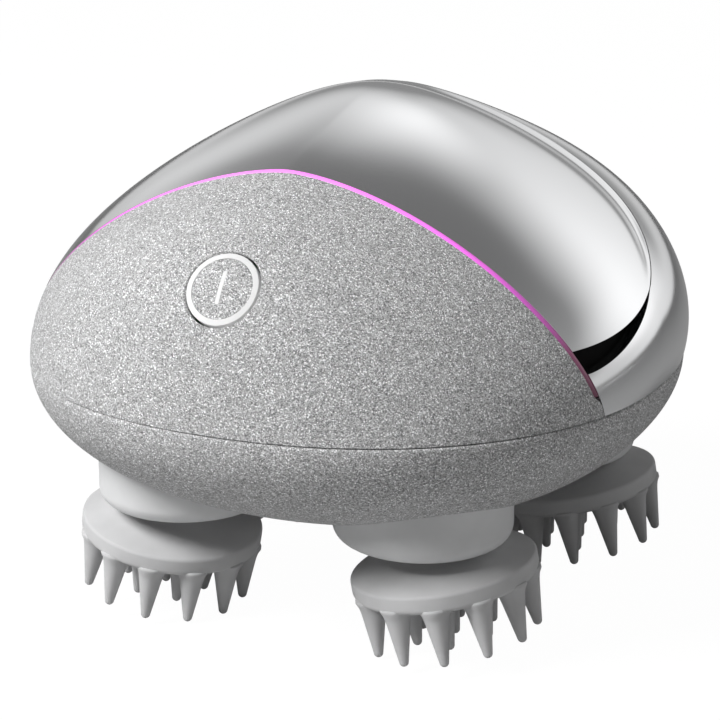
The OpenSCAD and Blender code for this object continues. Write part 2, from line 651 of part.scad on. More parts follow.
module head_hub(i) color(nylon) at_lean(i) difference() {
    union() {
        translate([0, 0, -hub_low]) cylinder(r = sleeve_r, h = hub_low - sleeve_top);
        translate([0, 0, -hub_low]) cylinder(r = hub_flange_r, h = hub_flange_t);
        for (k = [0 : 3]) rotate(k * 90) translate([0, -0.6, -hub_low + 1])
            cube([neck_r - 1.8, 1.2, hub_low - neck_top - 2]);
    }
    translate([0, 0, -hub_low - 1]) cylinder(r = pin_r + fit_gap, h = hub_low + 2);
    translate([0, 0, -hub_low - 1]) cylinder(r = clip_r + 0.4, h = 1 + clip_room);
}
clip_r = 3.2;
clip_t = 0.6;
clip_room = hub_low - pin_l + clip_t + 0.9;
module pin_clip(i) color(steel) at_lean(i) translate([0, 0, -pin_l + 0.3]) difference() {
    cylinder(r = clip_r, h = clip_t);
    translate([0, 0, -1]) cylinder(r = pin_r, h = clip_t + 2);
    translate([-0.9, 0, -1]) cube([1.8, clip_r + 1, clip_t + 2]);
}
skin = 0.02;
module head_pad(i) color(soft_grey) at_lean(i) difference() {
    union() {
        rotate_extrude() polygon(concat(
            [[0, -disc_low], [disc_r - 1, -disc_low], [disc_r - 0.3, -disc_low + 0.3],
             [disc_r, -disc_low + 1], [disc_r, -disc_low + rim_h - 0.6]],
            [for (k = [8 : -1 : 0]) let (u = k * k / 64)
                [mix(neck_r, disc_r - 0.4, u), -neck_low - flare_l * pow(u, 0.6)]],
            [[neck_r, -neck_top - 0.8], [neck_r - 0.8, -neck_top], [0, -neck_top]]));
        finger_set();
    }
    hub_room();
}
module finger() {
    translate([0, 0, -cone_l]) cylinder(r1 = finger_tip_r, r2 = finger_root_r, h = cone_l + 0.8, $fn = 24);
    translate([0, 0, -cone_l]) sphere(r = finger_tip_r, $fn = 24);
}
module finger_set() {
    for (k = [0 : outer_fingers - 1]) rotate(k * 360 / outer_fingers)
        translate([finger_ring_r, 0, -disc_low]) rotate([0, -finger_splay, 0]) finger();
    for (k = [0 : inner_fingers - 1]) rotate((k + 0.5) * 360 / inner_fingers)
        translate([inner_ring_r, 0, -disc_low]) finger();
    translate([0, 0, -disc_low]) finger();
}
// The pad's inside follows the hub, so the two seat on each other
module hub_room() {
    translate([0, 0, -hub_low - skin]) cylinder(r = hub_flange_r + skin, h = hub_flange_t + 2 * skin);
    translate([0, 0, -hub_low]) cylinder(r = sleeve_r + skin, h = hub_low);
    for (k = [0 : 3]) rotate(k * 90) translate([0, -0.6 - skin, -hub_low + 1])
        cube([neck_r - 1.8 + skin, 1.2 + 2 * skin, hub_low]);
}

module head_cup_a() head_cup(0);
module head_cup_b() head_cup(1);
module head_cup_c() head_cup(2);
module head_cup_d() head_cup(3);
module shaft_bush_a() shaft_bush(0);
module shaft_bush_b() shaft_bush(1);
module shaft_bush_c() shaft_bush(2);
module shaft_bush_d() shaft_bush(3);
module crank_gear_a() crank_gear(0);
module crank_gear_b() crank_gear(1);
module crank_gear_c() crank_gear(2);
module crank_gear_d() crank_gear(3);
module crank_arm_a() crank_arm(0);
module crank_arm_b() crank_arm(1);
module crank_arm_c() crank_arm(2);
module crank_arm_d() crank_arm(3);
module head_hub_a() head_hub(0);
module head_hub_b() head_hub(1);
module head_hub_c() head_hub(2);
module head_hub_d() head_hub(3);
module head_pad_a() head_pad(0);
module head_pad_b() head_pad(1);
module head_pad_c() head_pad(2);
module head_pad_d() head_pad(3);
module pin_clip_a() pin_clip(0);
module pin_clip_b() pin_clip(1);
module pin_clip_c() pin_clip(2);
module pin_clip_d() pin_clip(3);

lower_pan();
front_panel();
dome_cover();
rear_band();
slit_liner(1);  // slit_liner_right
slit_liner(-1);  // slit_liner_left
light_guide();
light_strip();
seam_seal();
charge_socket();
socket_cover();
power_button();
button_ring();
button_bar();
button_switch();
main_board();
gear_plate();
motor_bridge();
bridge_screws();
plate_screws();
gearbox();
motor_can();
sun_gear();
sun_shaft();
battery_cradle();
battery_cell();
head_cup_a();
head_cup_b();
head_cup_c();
head_cup_d();
shaft_bush_a();
shaft_bush_b();
shaft_bush_c();
shaft_bush_d();
crank_gear_a();
crank_gear_b();
crank_gear_c();
crank_gear_d();
crank_arm_a();
crank_arm_b();
crank_arm_c();
crank_arm_d();
head_hub_a();
head_hub_b();
head_hub_c();
head_hub_d();
head_pad_a();
head_pad_b();
head_pad_c();
head_pad_d();
pin_clip_a();
pin_clip_b();
pin_clip_c();
pin_clip_d();
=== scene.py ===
import math

import bmesh
import bpy
from mathutils import Matrix, Vector
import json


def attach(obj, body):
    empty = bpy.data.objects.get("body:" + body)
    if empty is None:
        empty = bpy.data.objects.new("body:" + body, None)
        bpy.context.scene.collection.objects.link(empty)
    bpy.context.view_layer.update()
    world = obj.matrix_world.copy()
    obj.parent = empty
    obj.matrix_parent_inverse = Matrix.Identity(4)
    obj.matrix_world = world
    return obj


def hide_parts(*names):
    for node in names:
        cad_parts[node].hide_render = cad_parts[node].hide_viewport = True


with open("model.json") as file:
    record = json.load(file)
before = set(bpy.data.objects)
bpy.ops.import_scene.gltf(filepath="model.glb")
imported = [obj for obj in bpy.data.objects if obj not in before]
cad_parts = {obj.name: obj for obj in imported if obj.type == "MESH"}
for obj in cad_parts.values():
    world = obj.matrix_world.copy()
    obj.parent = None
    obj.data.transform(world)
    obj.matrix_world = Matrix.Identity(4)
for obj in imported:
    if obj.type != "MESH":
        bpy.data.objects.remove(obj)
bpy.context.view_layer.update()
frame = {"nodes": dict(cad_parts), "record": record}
MM = 0.001
PER_MM = 1000.0

# ---------------------------------------------------------------- sizes, in millimetres
BODY_HALF = 55.0
SEAM_FRONT, SEAM_BACK = 54.7, 57.1
WAIST_Y, WAIST_SHIFT = -2.0, 9.7
DOME_H, CROWN_EASE = 44.9, 7.3
SIDE_SWELL, FRONT_SWELL, BACK_HOLLOW = 2.43, 2.12, 1.08
SIDE_CURVE, FRONT_CURVE, BACK_CURVE = (1.94, 1.02), (4.87, 2.77), (3.83, 2.36)
PAN_DEEP, PAN_CURVE, PAN_FLAT = 25.7, 2.04, 20.4
FRONT_ROUND, BACK_ROUND = (2.16, 1.5), (2.25, 2.39)
WALL, GAP, SEAM_GAP = 2.2, 0.3, 0.12
# the valley beside the crease: its line inside the crease, depth, and how far it fades in and out
VALLEY_LINE, VALLEY_DEEP, VALLEY_IN, VALLEY_OUT, ARCH_REACH = 1.5, 0.46, 3.4, 1.0, 42
LIGHT_W, LIGHT_DEEP, LIGHT_END, LIGHT_FRONT = 0.9, 3.0, 3.7, 22.5
SLIT_LOW, SLIT_HIGH, SLIT_TIP = 7.4, 11.0, 15.2
BUTTON_Z, HOLE_R, BUTTON_GAP, RING_W = 22.4, 6.35, 0.35, 1.0
BAR_L, BAR_W = 5.6, 0.7
LEAN = math.radians(10.5)
LEAN_TURN = math.radians(15)
CUP_R, CUP_LOW, PIVOT_RISE = 14.9, 23.9, 14.0
CUP_WALL, CUP_EDGE_R, CUP_TOP, WEB_T, WEB_FILLET, BORE_R = 2.4, 2.8, -4.2, 5.4, 1.5, 4.1
NECK_R, DISC_R, RIM_H = 8.0, 15.6, 3.4
FINGER_L, FINGER_ROOT, FINGER_TIP = 9.6, 2.05, 0.8
# the scene's fingers are a little thicker at the root and its necks slimmer at the flare
ROOT_EXTRA, ROOT_SPREAD, NECK_SLIM, FLARE_UP = 0.3, 0.45, 0.6, 0.9
OUTER_FINGERS, INNER_FINGERS = 12, 6
SPLAY = math.radians(4)
FRONT_HALF, REAR_HALF, SUN_Y, CENTRE_DIST = 22.0, 26.0, 3.2, 35.0

PIVOT_Z = PIVOT_RISE - CUP_LOW
NECK_LOW, FLARE_L = PIVOT_RISE + 1.4, 3.1
DISC_LOW = NECK_LOW + FLARE_L + RIM_H
FINGER_RING = DISC_R - FINGER_ROOT - 0.35
INNER_RING = FINGER_RING * 0.52
CONE_L = FINGER_L - FINGER_TIP
SEAM_H = (-PIVOT_Z + (DISC_LOW + CONE_L * math.cos(SPLAY)) * math.cos(LEAN)
          + (FINGER_RING + CONE_L * math.sin(SPLAY)) * math.sin(LEAN) + FINGER_TIP)
HEADS = []
for key, hx, side, rear in (("a", -FRONT_HALF, -1, False), ("b", FRONT_HALF, 1, False),
                            ("c", REAR_HALF, 1, True), ("d", -REAR_HALF, -1, True)):
    reach = math.sqrt(CENTRE_DIST ** 2 - hx ** 2)
    HEADS.append((key, hx, SUN_Y + (reach if rear else -reach), side))


# ---------------------------------------------------------------- form of the housing
def mix(a, b, t):
    return a + (b - a) * t


def clamp(x, lo=0.0, hi=1.0):
    return max(lo, min(hi, x))


def smooth(t):
    t = clamp(t)
    return t * t * (3 - 2 * t)


def rise(z):
    return clamp(z / DOME_H)


def hump(z):
    return 4 * rise(z) * (1 - rise(z))


def falloff(z, c):
    return (1 - (max(0.0, z) / (DOME_H + CROWN_EASE)) ** c[0]) ** c[1]


def taper(z, c):
    f, e = falloff(z, c), falloff(DOME_H, c)
    return math.sqrt(max(0.0, (f * f - e * e) / (1 - e * e)))


def pan_taper(z):
    return math.sqrt(max(0.0, 1 - min(1.0, -z / PAN_DEEP) ** PAN_CURVE))


def side_len(z):
    if z < 0:
        return BODY_HALF * pan_taper(z)
    return BODY_HALF * taper(z, SIDE_CURVE) + SIDE_SWELL * hump(z)


def front_len(z):
    if z < 0:
        return SEAM_FRONT * pan_taper(z)
    return SEAM_FRONT * taper(z, FRONT_CURVE) + FRONT_SWELL * hump(z)


def back_len(z):
    if z < 0:
        return SEAM_BACK * pan_taper(z)
    return SEAM_BACK * taper(z, BACK_CURVE) - BACK_HOLLOW * hump(z)


def waist(z):
    return WAIST_Y + WAIST_SHIFT * rise(z)


def roundness(z, back):
    r = BACK_ROUND if back else FRONT_ROUND
    return mix(r[0], r[1], rise(z))


def end_len(z, back):
    return max(0.01, back_len(z) if back else front_len(z))


def outline_at(z, a):
    """A point of the outline at height z over the seam; angle 0 is the right side, 90 the back."""
    a = math.radians(a)
    back = math.sin(a) > 0
    n = roundness(z, back)
    cx, sy = math.cos(a), math.sin(a)
    return Vector((side_len(z) * math.copysign(abs(cx) ** (2 / n), cx),
                   waist(z) + end_len(z, back) * math.copysign(abs(sy) ** (2 / n), sy), z))


def angle_at(z, y):
    back = y > waist(z)
    n = roundness(z, back)
    q = min(1.0, abs(y - waist(z)) / end_len(z, back))
    return (1 if back else -1) * math.degrees(math.asin(q ** (n / 2)))


def width_at(z, y):
    return outline_at(z, angle_at(z, y)).x


def top_at(y):
    lo, hi = 0.0, DOME_H
    for _ in range(30):
        m = (lo + hi) / 2
        if waist(m) - front_len(m) < y < waist(m) + back_len(m):
            lo = m
        else:
            hi = m
    return lo


def inset(p, d):
    """Moves a point of the housing d toward the middle of the seam plane."""
    return p - p * (d / p.length)


def light_y(z):
    return -LIGHT_FRONT - 0.407 * z + 0.00676 * z * z


def crease_y(z):
    s = 1 - z / DOME_H
    return 13 + 29.8 * s - 112.6 * s ** 3


TIP_Y = crease_y(SLIT_TIP)
LIGHT_PEAK = top_at(light_y(34.5))
CREASE_PEAK = top_at(crease_y(DOME_H - 1.2))


def band_front(z):
    return light_y(z) + LIGHT_W / 2 + SEAM_GAP


# ---------------------------------------------------------------- mesh helpers
def lift(p):
    """From the seam frame in millimetres to the scene in metres."""
    return Vector((p[0] * MM, p[1] * MM, (p[2] + SEAM_H) * MM))


def make_object(name, verts, faces, smooth_faces=True):
    mesh = bpy.data.meshes.new(name)
    mesh.from_pydata([tuple(v) for v in verts], [], faces)
    mesh.validate()
    bm = bmesh.new()
    bm.from_mesh(mesh)
    bmesh.ops.remove_doubles(bm, verts=bm.verts, dist=1e-7)
    bmesh.ops.recalc_face_normals(bm, faces=bm.faces)
    bm.to_mesh(mesh)
    bm.free()
    if smooth_faces:
        mesh.polygons.foreach_set("use_smooth", [True] * len(mesh.polygons))
    ob = bpy.data.objects.new(name, mesh)
    bpy.context.scene.collection.objects.link(ob)
    return ob


def crisp(ob, width=0.0002, segments=2, angle=40):
    """Rounds the sharp edges and keeps the faces beside them flat or curved as they are."""
    bev = ob.modifiers.new("edge", "BEVEL")
    bev.width = width
    bev.segments = segments
    bev.limit_method = "ANGLE"
    bev.angle_limit = math.radians(angle)
    bev.harden_normals = True
    return ob


def sheet(name, grid, wall, edge=0.00025, from_depth=0.0):
    """A curved shell from a grid of outer points in the seam frame."""
    n, m = len(grid), len(grid[0])
    outer = [inset(p, from_depth) if from_depth else p for row in grid for p in row]
    inner = [inset(p, wall) for row in grid for p in row]
    verts = [lift(p) for p in outer + inner]
    faces = []

    def at(side, i, j):
        return side * n * m + i * m + j

    for i in range(n - 1):
        for j in range(m - 1):
            faces.append((at(0, i, j), at(0, i + 1, j), at(0, i + 1, j + 1), at(0, i, j + 1)))
            faces.append((at(1, i, j), at(1, i, j + 1), at(1, i + 1, j + 1), at(1, i + 1, j)))
    for j in range(m - 1):
        faces.append((at(0, 0, j), at(0, 0, j + 1), at(1, 0, j + 1), at(1, 0, j)))
        faces.append((at(0, n - 1, j), at(1, n - 1, j), at(1, n - 1, j + 1), at(0, n - 1, j + 1)))
    for i in range(n - 1):
        faces.append((at(0, i, 0), at(1, i, 0), at(1, i + 1, 0), at(0, i + 1, 0)))
        faces.append((at(0, i, m - 1), at(0, i + 1, m - 1), at(1, i + 1, m - 1), at(1, i, m - 1)))
    ob = make_object(name, verts, faces)
    if edge:
        crisp(ob, edge)
    return ob


def lathe(name, profile, steps=96, matrix=None, closed=True):
    """Turns a profile of (radius, height) in millimetres about Z."""
    verts, faces = [], []
    n = len(profile)
    for k in range(steps):
        a = 2 * math.pi * k / steps
        for r, z in profile:
            p = Vector((r * math.cos(a), r * math.sin(a), z))
            if matrix is not None:
                p = matrix @ p
            verts.append(lift(p))
    for k in range(steps):
        q = (k + 1) % steps
        for i in range(n if closed else n - 1):
            j = (i + 1) % n
            faces.append((k * n + i, k * n + j, q * n + j, q * n + i))
    return make_object(name, verts, faces)


def join_into(name, obs):
    bpy.ops.object.select_all(action="DESELECT")
    for ob in obs:
        ob.select_set(True)
    bpy.context.view_layer.objects.active = obs[0]
    bpy.ops.object.join()
    obs[0].name = name
    return obs[0]


# ---------------------------------------------------------------- materials
def new_material(name):
    mat = bpy.data.materials.new(name)
    mat.use_nodes = True
    nodes = mat.node_tree.nodes
    bsdf = nodes["Principled BSDF"]
    return mat, mat.node_tree, nodes, bsdf


def coords(tree):
    """The object's own coordinates in millimetres."""
    tex = tree.nodes.new("ShaderNodeTexCoord")
    mapping = tree.nodes.new("ShaderNodeMapping")
    mapping.inputs["Scale"].default_value = (PER_MM, PER_MM, PER_MM)
    tree.links.new(tex.outputs["Object"], mapping.inputs["Vector"])
    return mapping.outputs["Vector"]


def ramp(tree, value, stops):
    node = tree.nodes.new("ShaderNodeValToRGB")
    els = node.color_ramp.elements
    while len(els) < len(stops):
        els.new(0.5)
    for el, (pos, col) in zip(els, stops):
        el.position = pos
        el.color = (*col, 1) if len(col) == 3 else col
    tree.links.new(value, node.inputs[0])
    return node.outputs[0]


def noise_bump(tree, bsdf, vec, scale, strength, distance):
    noise = tree.nodes.new("ShaderNodeTexNoise")
    noise.inputs["Scale"].default_value = scale
    noise.inputs["Detail"].default_value = 4
    tree.links.new(vec, noise.inputs["Vector"])
    bump = tree.nodes.new("ShaderNodeBump")
    bump.inputs["Strength"].default_value = strength
    bump.inputs["Distance"].default_value = distance
    tree.links.new(noise.outputs["Fac"], bump.inputs["Height"])
    tree.links.new(bump.outputs["Normal"], bsdf.inputs["Normal"])
    return noise


def grey(v):
    return (v, v, v)


def glitter_material(name="glitter_paint"):
    """Silver base coat with a grain of fine flakes in two sizes under satin lacquer; the brightest flakes are
    painted glints.
    """
    mat, tree, nodes, bsdf = new_material(name)
    links = tree.links
    vec = coords(tree)

    def flakes(scale, stops):
        """Cells with one brightness each, about scale of them to the millimetre."""
        vor = nodes.new("ShaderNodeTexVoronoi")
        vor.inputs["Scale"].default_value = scale
        links.new(vec, vor.inputs["Vector"])
        sep = nodes.new("ShaderNodeSeparateColor")
        links.new(vor.outputs["Color"], sep.inputs[0])
        return ramp(tree, sep.outputs[0], stops), vor.outputs["Distance"]

    def multiply(a, b):
        node = nodes.new("ShaderNodeMix")
        node.data_type = "RGBA"
        node.blend_type = "MULTIPLY"
        node.inputs["Factor"].default_value = 1
        links.new(a, node.inputs["A"])
        if isinstance(b, tuple):
            node.inputs["B"].default_value = b
        else:
            links.new(b, node.inputs["B"])
        return node.outputs["Result"]

    # in both flake sizes the tones vary at random as the paint's grain; the top stops at 1.62, brighter than
    # white, are painted glints
    fine, cells = flakes(8.0, [(0.0, grey(0.12)), (0.35, grey(0.70)), (0.72, grey(1.00)), (0.90, grey(1.62))])
    big = flakes(4.6, [(0.0, grey(0.80)), (0.35, grey(0.95)), (0.84, grey(1.0)), (0.90, grey(1.62))])[0]
    cloud = nodes.new("ShaderNodeTexNoise")
    cloud.inputs["Scale"].default_value = 0.9
    cloud.inputs["Detail"].default_value = 5
    links.new(vec, cloud.inputs["Vector"])
    soft = ramp(tree, cloud.outputs["Fac"], [(0.3, grey(0.975)), (0.7, grey(1.025))])
    col = multiply(multiply(multiply(fine, big), soft), (0.61, 0.61, 0.615, 1))
    links.new(col, bsdf.inputs["Base Color"])
    bump = nodes.new("ShaderNodeBump")
    bump.inputs["Strength"].default_value = 0.3
    bump.inputs["Distance"].default_value = 0.00003
    links.new(cells, bump.inputs["Height"])
    links.new(bump.outputs["Normal"], bsdf.inputs["Normal"])
    bsdf.inputs["Metallic"].default_value = 0.08
    bsdf.inputs["Roughness"].default_value = 0.62
    bsdf.inputs["Specular IOR Level"].default_value = 0.3
    return mat


def chrome_material():
    """Mirror plating whose polish changes slightly over the surface."""
    mat, tree, nodes, bsdf = new_material("bright_chrome")
    bsdf.inputs["Base Color"].default_value = (0.90, 0.905, 0.915, 1)
    bsdf.inputs["Metallic"].default_value = 1
    vec = coords(tree)
    noise = nodes.new("ShaderNodeTexNoise")
    noise.inputs["Scale"].default_value = 0.05
    tree.links.new(vec, noise.inputs["Vector"])
    mr = nodes.new("ShaderNodeMapRange")
    mr.inputs["To Min"].default_value = 0.12
    mr.inputs["To Max"].default_value = 0.15
    tree.links.new(noise.outputs["Fac"], mr.inputs["Value"])
    tree.links.new(mr.outputs["Result"], bsdf.inputs["Roughness"])
    return mat


def plastic(name, color, rough, bump=0.05, scale=2.0, spec=0.5, sub=0.0):
    """Moulded plastic or silicone: fine grain, slight colour drift, no flat patch."""
    mat, tree, nodes, bsdf = new_material(name)
    vec = coords(tree)
    noise = noise_bump(tree, bsdf, vec, scale, bump, 0.00005)
    lo = tuple(c * 0.96 for c in color)
    hi = tuple(min(1.0, c * 1.04) for c in color)
    broad = nodes.new("ShaderNodeTexNoise")
    broad.inputs["Scale"].default_value = 0.12
    broad.inputs["Detail"].default_value = 3
    tree.links.new(vec, broad.inputs["Vector"])
    col = ramp(tree, broad.outputs["Fac"], [(0.35, lo), (0.65, hi)])
    tree.links.new(col, bsdf.inputs["Base Color"])
    mr = nodes.new("ShaderNodeMapRange")
    mr.inputs["To Min"].default_value = rough - 0.04
    mr.inputs["To Max"].default_value = rough + 0.04
    tree.links.new(noise.outputs["Fac"], mr.inputs["Value"])
    tree.links.new(mr.outputs["Result"], bsdf.inputs["Roughness"])
    bsdf.inputs["Specular IOR Level"].default_value = spec
    if sub:
        bsdf.inputs["Subsurface Weight"].default_value = sub
        bsdf.inputs["Subsurface Radius"].default_value = (0.002, 0.002, 0.002)
    return mat


def metal(name, color, rough):
    """Plain metal with a fine grain."""
    mat, tree, nodes, bsdf = new_material(name)
    vec = coords(tree)
    noise = noise_bump(tree, bsdf, vec, 3.0, 0.08, 0.00004)
    lo = tuple(c * 0.92 for c in color)
    hi = tuple(min(1.0, c * 1.05) for c in color)
    tree.links.new(ramp(tree, noise.outputs["Fac"], [(0.35, lo), (0.65, hi)]), bsdf.inputs["Base Color"])
    bsdf.inputs["Metallic"].default_value = 1
    bsdf.inputs["Roughness"].default_value = rough
    return mat


def light_line_material():
    """A glowing line that is brightest over the crown and dims to maroon at its ends."""
    mat, tree, nodes, bsdf = new_material("light_line_glow")
    tex = nodes.new("ShaderNodeTexCoord")
    sep = nodes.new("ShaderNodeSeparateXYZ")
    tree.links.new(tex.outputs["Object"], sep.inputs[0])
    up = nodes.new("ShaderNodeMapRange")
    up.inputs["From Min"].default_value = (SEAM_H + LIGHT_END) * MM
    up.inputs["From Max"].default_value = (SEAM_H + LIGHT_PEAK) * MM
    tree.links.new(sep.outputs[2], up.inputs["Value"])
    col = ramp(tree, up.outputs["Result"], [
        (0.0, (0.06, 0.022, 0.035)), (0.22, (0.12, 0.035, 0.070)), (0.50, (0.40, 0.080, 0.36)),
        (0.70, (0.66, 0.13, 0.60)), (0.95, (0.86, 0.22, 0.80))])
    tree.links.new(col, bsdf.inputs["Base Color"])
    tree.links.new(col, bsdf.inputs["Emission Color"])
    bsdf.inputs["Emission Strength"].default_value = 0.85
    bsdf.inputs["Roughness"].default_value = 0.3
    return mat


MAT = {
    "glitter_silver": glitter_material(),
    "mirror_chrome": chrome_material(),
    "black_plastic": plastic("slit_black", (0.006, 0.006, 0.006), 0.7, spec=0.06),
    "light_line": light_line_material(),
    "white_plastic": plastic("white_print", (0.86, 0.86, 0.86), 0.35),
    "seal_rubber": plastic("seal_black", (0.03, 0.03, 0.03), 0.7),
    "satin_grey": plastic("satin_cup", (0.78, 0.785, 0.79), 0.42, bump=0.10, scale=3.0),
    "pad_silicone": plastic("pad_silicone", (0.62, 0.62, 0.625), 0.62, bump=0.22, scale=4.0, sub=0.08),
    "cover_silicone": plastic("cover_silicone", (0.42, 0.42, 0.43), 0.6),
    "nylon": plastic("natural_nylon", (0.74, 0.72, 0.66), 0.5),
    "plain_steel": metal("plain_steel", (0.55, 0.56, 0.58), 0.32),
    "bush_brass": metal("bush_brass", (0.72, 0.52, 0.22), 0.3),
    "board_green": plastic("board_green", (0.03, 0.16, 0.07), 0.4),
    "cell_wrap": plastic("cell_wrap", (0.05, 0.12, 0.36), 0.35),
}
for part in frame["record"]["subparts"]:
    ob = frame["nodes"][part["node"]]
    for slot in ob.material_slots:
        slot.material = MAT[part["material_slot"]]


def dress(ob, slot, body, node):
    """Gives a piece its material and body and lets it take the place of a node."""
    ob.data.materials.clear()
    ob.data.materials.append(MAT[slot])
    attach(ob, body)
    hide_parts(node)


# ---------------------------------------------------------------- camera
AZ, EL, DIST, FOCAL = math.radians(24.62), math.radians(16.67), 399.8, 2305.8
RIGHT = Vector((math.cos(AZ), math.sin(AZ), 0))
UP = Vector((-math.sin(AZ) * math.sin(EL), math.cos(AZ) * math.sin(EL), math.cos(EL)))
BACK = Vector((math.sin(AZ) * math.cos(EL), -math.cos(AZ) * math.cos(EL), math.sin(EL)))
aim = RIGHT * 0.530 + UP * (-2.516) + Vector((0, -2, 0))
eye = lift(aim + BACK * DIST)
cam_data = bpy.data.cameras.new("camera")
cam_data.sensor_width = 36
cam_data.lens = FOCAL * 36 / 720
cam_data.clip_start = 0.01
cam_data.clip_end = 50
cam = bpy.data.objects.new("camera", cam_data)
bpy.context.scene.collection.objects.link(cam)
cam.matrix_world = Matrix(((RIGHT.x, UP.x, BACK.x, eye.x), (RIGHT.y, UP.y, BACK.y, eye.y),
                           (RIGHT.z, UP.z, BACK.z, eye.z), (0, 0, 0, 1)))
bpy.context.scene.camera = cam

# ---------------------------------------------------------------- housing
def panel_end(z):
    if z < LIGHT_END:
        return light_y(z) + mix(LIGHT_W / 2, -LIGHT_W / 2, smooth((z - LIGHT_END + 1.2) / 1.2))
    return light_y(z) - LIGHT_W / 2


def build_front_panel():
    """Rows from the seam up to the arched edge under the light line."""
    top = top_at(light_y(LIGHT_PEAK) - LIGHT_W / 2) - 0.02
    rows, cols = 80, 120
    grid = []
    for k in range(rows + 1):
        z = mix(SEAM_GAP, top, math.sin(math.radians(90 * k / rows)))
        a = angle_at(z, panel_end(z))
        grid.append([outline_at(z, mix(-180 - a, a, j / cols)) for j in range(cols + 1)])
    return sheet("front_panel_shell", grid, WALL, 0.00018)


def arch_y(w, s):
    return mix(light_y(mix(SLIT_HIGH, LIGHT_PEAK, s)) + LIGHT_W / 2,
               crease_y(mix(SLIT_TIP, CREASE_PEAK, s)) - GAP / 2, w)


def build_dome():
    """Arches from the light line (w = 0) back to the crease (w = 1), over both sides."""
    arches, half = 72, 90
    grid = []
    for i in range(arches + 1):
        w = i / arches
        row = []
        top = top_at(arch_y(w, 1))
        low = mix(SLIT_HIGH, SLIT_TIP, w * w) + 0.08
        for j in range(-half, half + 1):
            s = math.cos(math.radians(90 * abs(j) / half))
            y = arch_y(w, s)
            z = mix(low, top, s)
            x = 0.0 if j == 0 else math.copysign(width_at(z, y), j)
            row.append(Vector((x, y, z)))
        grid.append(row)
    # the front and back curves meet at the waist: the rows there are drawn into one sweep
    for _ in range(40):
        grid = [grid[0]] + [[(a + b * 2 + c) / 4 for a, b, c in zip(*grid[i - 1:i + 2])]
                            for i in range(1, arches)] + [grid[-1]]
    # shallow valley along the crease, steeper on its outer side
    for i in range(arches + 1):
        off = ARCH_REACH * (1 - i / arches) - VALLEY_LINE
        dip = VALLEY_DEEP * math.exp(-(off / (VALLEY_IN if off > 0 else VALLEY_OUT)) ** 2)
        for j, p in enumerate(grid[i]):
            s = math.cos(math.radians(90 * abs(j - half) / half))
            grid[i][j] = inset(p, dip * smooth((s - 0.04) / 0.2))
    return sheet("dome_shell", grid, WALL, 0.0003)


BAND_TOP = top_at(crease_y(CREASE_PEAK) + GAP / 2) - 0.03


def build_band():
    """Rows from the seam up to the slits' lower lips and the crease."""
    lip, crease = 40, 80
    total = lip + crease

    def edge_z(k):
        if k <= lip:
            return mix(SLIT_LOW, SLIT_TIP, (k / lip) ** 1.5)
        return mix(SLIT_TIP, BAND_TOP, math.sin(math.radians(90 * (k - lip) / crease)))

    def edge_angle(k):
        if k == total:
            return 90.0
        z = edge_z(k)
        y = mix(band_front(SLIT_LOW), TIP_Y, k / lip) if k <= lip else crease_y(z) + GAP / 2
        return angle_at(z, y)

    def foot_angle(k):
        tip = angle_at(SEAM_GAP, TIP_Y)
        if k <= lip:
            return angle_at(SEAM_GAP, mix(band_front(SEAM_GAP), TIP_Y, k / lip))
        return mix(tip, 90, ((k - lip) / crease) ** 0.9)

    steps = 56
    grid = []
    for i in range(steps + 1):
        v = math.sin(math.radians(90 * i / steps))
        row = []
        for k in range(total + 1):
            z = mix(SEAM_GAP, edge_z(k), v)
            a = angle_at(z, band_front(z)) if k == 0 else mix(foot_angle(k), edge_angle(k), v)
            row.append(outline_at(z, a))
        row += [Vector((-p.x, p.y, p.z)) for p in reversed(row[:-1])]
        grid.append(row)
    return sheet("band_shell", grid, WALL, 0.0003)


def build_light_guide():
    """The strip between panel and dome, from one lower end over the arch to the other."""
    n = 90
    grid = []
    for offset in (-LIGHT_W / 2 + 0.05, LIGHT_W / 2 - 0.05):
        top = top_at(light_y(LIGHT_PEAK) + offset)
        row = []
        for j in range(-n, n + 1):
            z = mix(LIGHT_END, top, math.cos(math.radians(90 * abs(j) / n)))
            y = light_y(LIGHT_PEAK if j == 0 else min(z, LIGHT_PEAK)) + offset
            row.append(Vector((0.0 if j == 0 else math.copysign(width_at(z, y), j), y, z)))
        grid.append(row)
    return sheet("light_line_strip", grid, LIGHT_DEEP, 0, from_depth=0.05)


def build_pan():
    """One closed bowl, open at the seam, with four round holes for the cups."""
    rows, cols = 56, 180
    rings = []
    for k in range(rows + 1):
        t = k / rows
        z = -PAN_FLAT * math.cos(math.radians(90 * t)) - SEAM_GAP * t
        rings.append([outline_at(z, 360 * j / cols) for j in range(cols)])
    shrink = 1 - WALL / BODY_HALF
    for k in range(17):
        z = mix(-SEAM_GAP, WALL - PAN_FLAT, k / 16)
        ring = [outline_at(z, 360 * j / cols) for j in range(cols)]
        rings.append([Vector((p.x * shrink, WAIST_Y + (p.y - WAIST_Y) * shrink, z)) for p in ring])
    verts = [lift(p) for ring in rings for p in ring]
    faces = []
    for i in range(len(rings) - 1):
        for j in range(cols):
            q = (j + 1) % cols
            faces.append((i * cols + j, i * cols + q, (i + 1) * cols + q, (i + 1) * cols + j))
    for first, z in ((0, -PAN_FLAT), ((len(rings) - 1) * cols, WALL - PAN_FLAT)):
        verts.append(lift(Vector((0, WAIST_Y, z))))
        for j in range(cols):
            faces.append((first + j, first + (j + 1) % cols, len(verts) - 1))
    ob = make_object("pan_shell", verts, faces)
    for key, hx, hy, side in HEADS:
        drill(ob, lathe("cut_" + key, [(CUP_R + 0.12, -30), (CUP_R + 0.12, -1), (0, -1), (0, -30)], 96,
                        Matrix.Translation((hx, hy, 0))))
    return ob


def drill(ob, tool):
    cut = ob.modifiers.new("drill", "BOOLEAN")
    cut.operation = "DIFFERENCE"
    cut.solver = "EXACT"
    cut.object = tool
    apply_modifiers(ob)
    bpy.data.objects.remove(tool)


